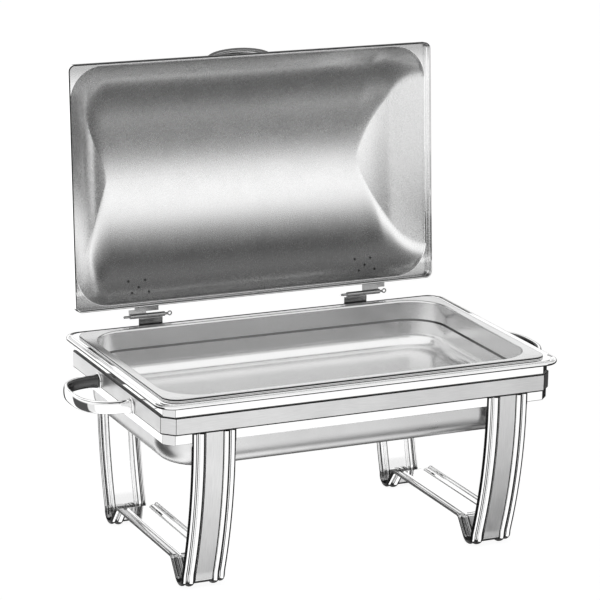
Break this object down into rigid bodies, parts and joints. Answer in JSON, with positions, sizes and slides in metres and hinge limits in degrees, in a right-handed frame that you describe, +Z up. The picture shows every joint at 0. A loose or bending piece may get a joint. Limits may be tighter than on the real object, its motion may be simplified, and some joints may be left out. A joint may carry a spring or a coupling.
{
  "type": "chafing dish",
  "caption": "Rectangular hinged-lid chafing dish: food pan over a water pan in a legged frame with side handles, lid standing open.",
  "frame": {"origin": "centre of the bounding box on the table surface, with the lid standing open at rest", "axes": "+X to the right seen from the front, +Y from the front to the hinged back, +Z up; the stand's own centre line is 43.6 mm in front of the origin"},
  "size_m": [0.6666, 0.4412, 0.6091],
  "materials": {
    "polished_steel": "mirror polished stainless steel",
    "satin_steel": "satin stainless steel",
    "hinge_steel": "plain stainless steel fittings"
  },
  "bodies": {
    "stand": {"stand_frame": "polished_steel", "trim_band": "satin_steel", "leg_left": "polished_steel", "leg_right": "polished_steel", "leg_screw_1": "hinge_steel", "leg_screw_2": "hinge_steel", "leg_screw_3": "hinge_steel", "leg_screw_4": "hinge_steel", "leg_screw_5": "hinge_steel", "leg_screw_6": "hinge_steel", "leg_screw_7": "hinge_steel", "leg_screw_8": "hinge_steel", "handle_left": "polished_steel", "handle_right": "polished_steel", "handle_collar_1": "polished_steel", "handle_collar_2": "polished_steel", "handle_collar_3": "polished_steel", "handle_collar_4": "polished_steel", "handle_screw_1": "hinge_steel", "handle_screw_2": "hinge_steel", "handle_screw_3": "hinge_steel", "handle_screw_4": "hinge_steel"},
    "water_pan": {"water_pan": "satin_steel", "hinge_base_left": "hinge_steel", "hinge_base_right": "hinge_steel", "base_rivet_left_1": "hinge_steel", "base_rivet_left_2": "hinge_steel", "base_rivet_right_1": "hinge_steel", "base_rivet_right_2": "hinge_steel"},
    "food_pan": {"food_pan": "satin_steel"},
    "lid": {"lid_shell": "satin_steel", "lid_handle": "polished_steel", "lid_handle_collar_left": "polished_steel", "lid_handle_collar_right": "polished_steel", "hinge_leaf_left": "hinge_steel", "hinge_leaf_right": "hinge_steel", "lid_rivet_left_1": "hinge_steel", "lid_rivet_left_2": "hinge_steel", "lid_rivet_left_3": "hinge_steel", "lid_rivet_left_4": "hinge_steel", "lid_rivet_left_5": "hinge_steel", "lid_rivet_right_1": "hinge_steel", "lid_rivet_right_2": "hinge_steel", "lid_rivet_right_3": "hinge_steel", "lid_rivet_right_4": "hinge_steel", "lid_rivet_right_5": "hinge_steel"},
    "hinge_pin_left": {"hinge_pin_left": "hinge_steel"},
    "hinge_pin_right": {"hinge_pin_right": "hinge_steel"}
  },
  "joints": [
    {"name": "water_pan_lift", "type": "slide", "parent": "stand", "child": "water_pan", "axis": [0, 0, 1], "range_m": [0, 0.12]},
    {"name": "food_pan_lift", "type": "slide", "parent": "water_pan", "child": "food_pan", "axis": [0, 0, 1], "range_m": [0, 0.08]},
    {"name": "lid_hinge", "type": "hinge", "parent": "water_pan", "child": "lid", "pos_m": [0, 0.1339, 0.268], "axis": [-1, 0, 0], "range_deg": [-94.55, 0]},
    {"name": "hinge_pin_left_pull", "type": "slide", "parent": "water_pan", "child": "hinge_pin_left", "axis": [1, 0, 0], "range_m": [0, 0.066]},
    {"name": "hinge_pin_right_pull", "type": "slide", "parent": "water_pan", "child": "hinge_pin_right", "axis": [1, 0, 0], "range_m": [0, 0.066]}
  ]
}
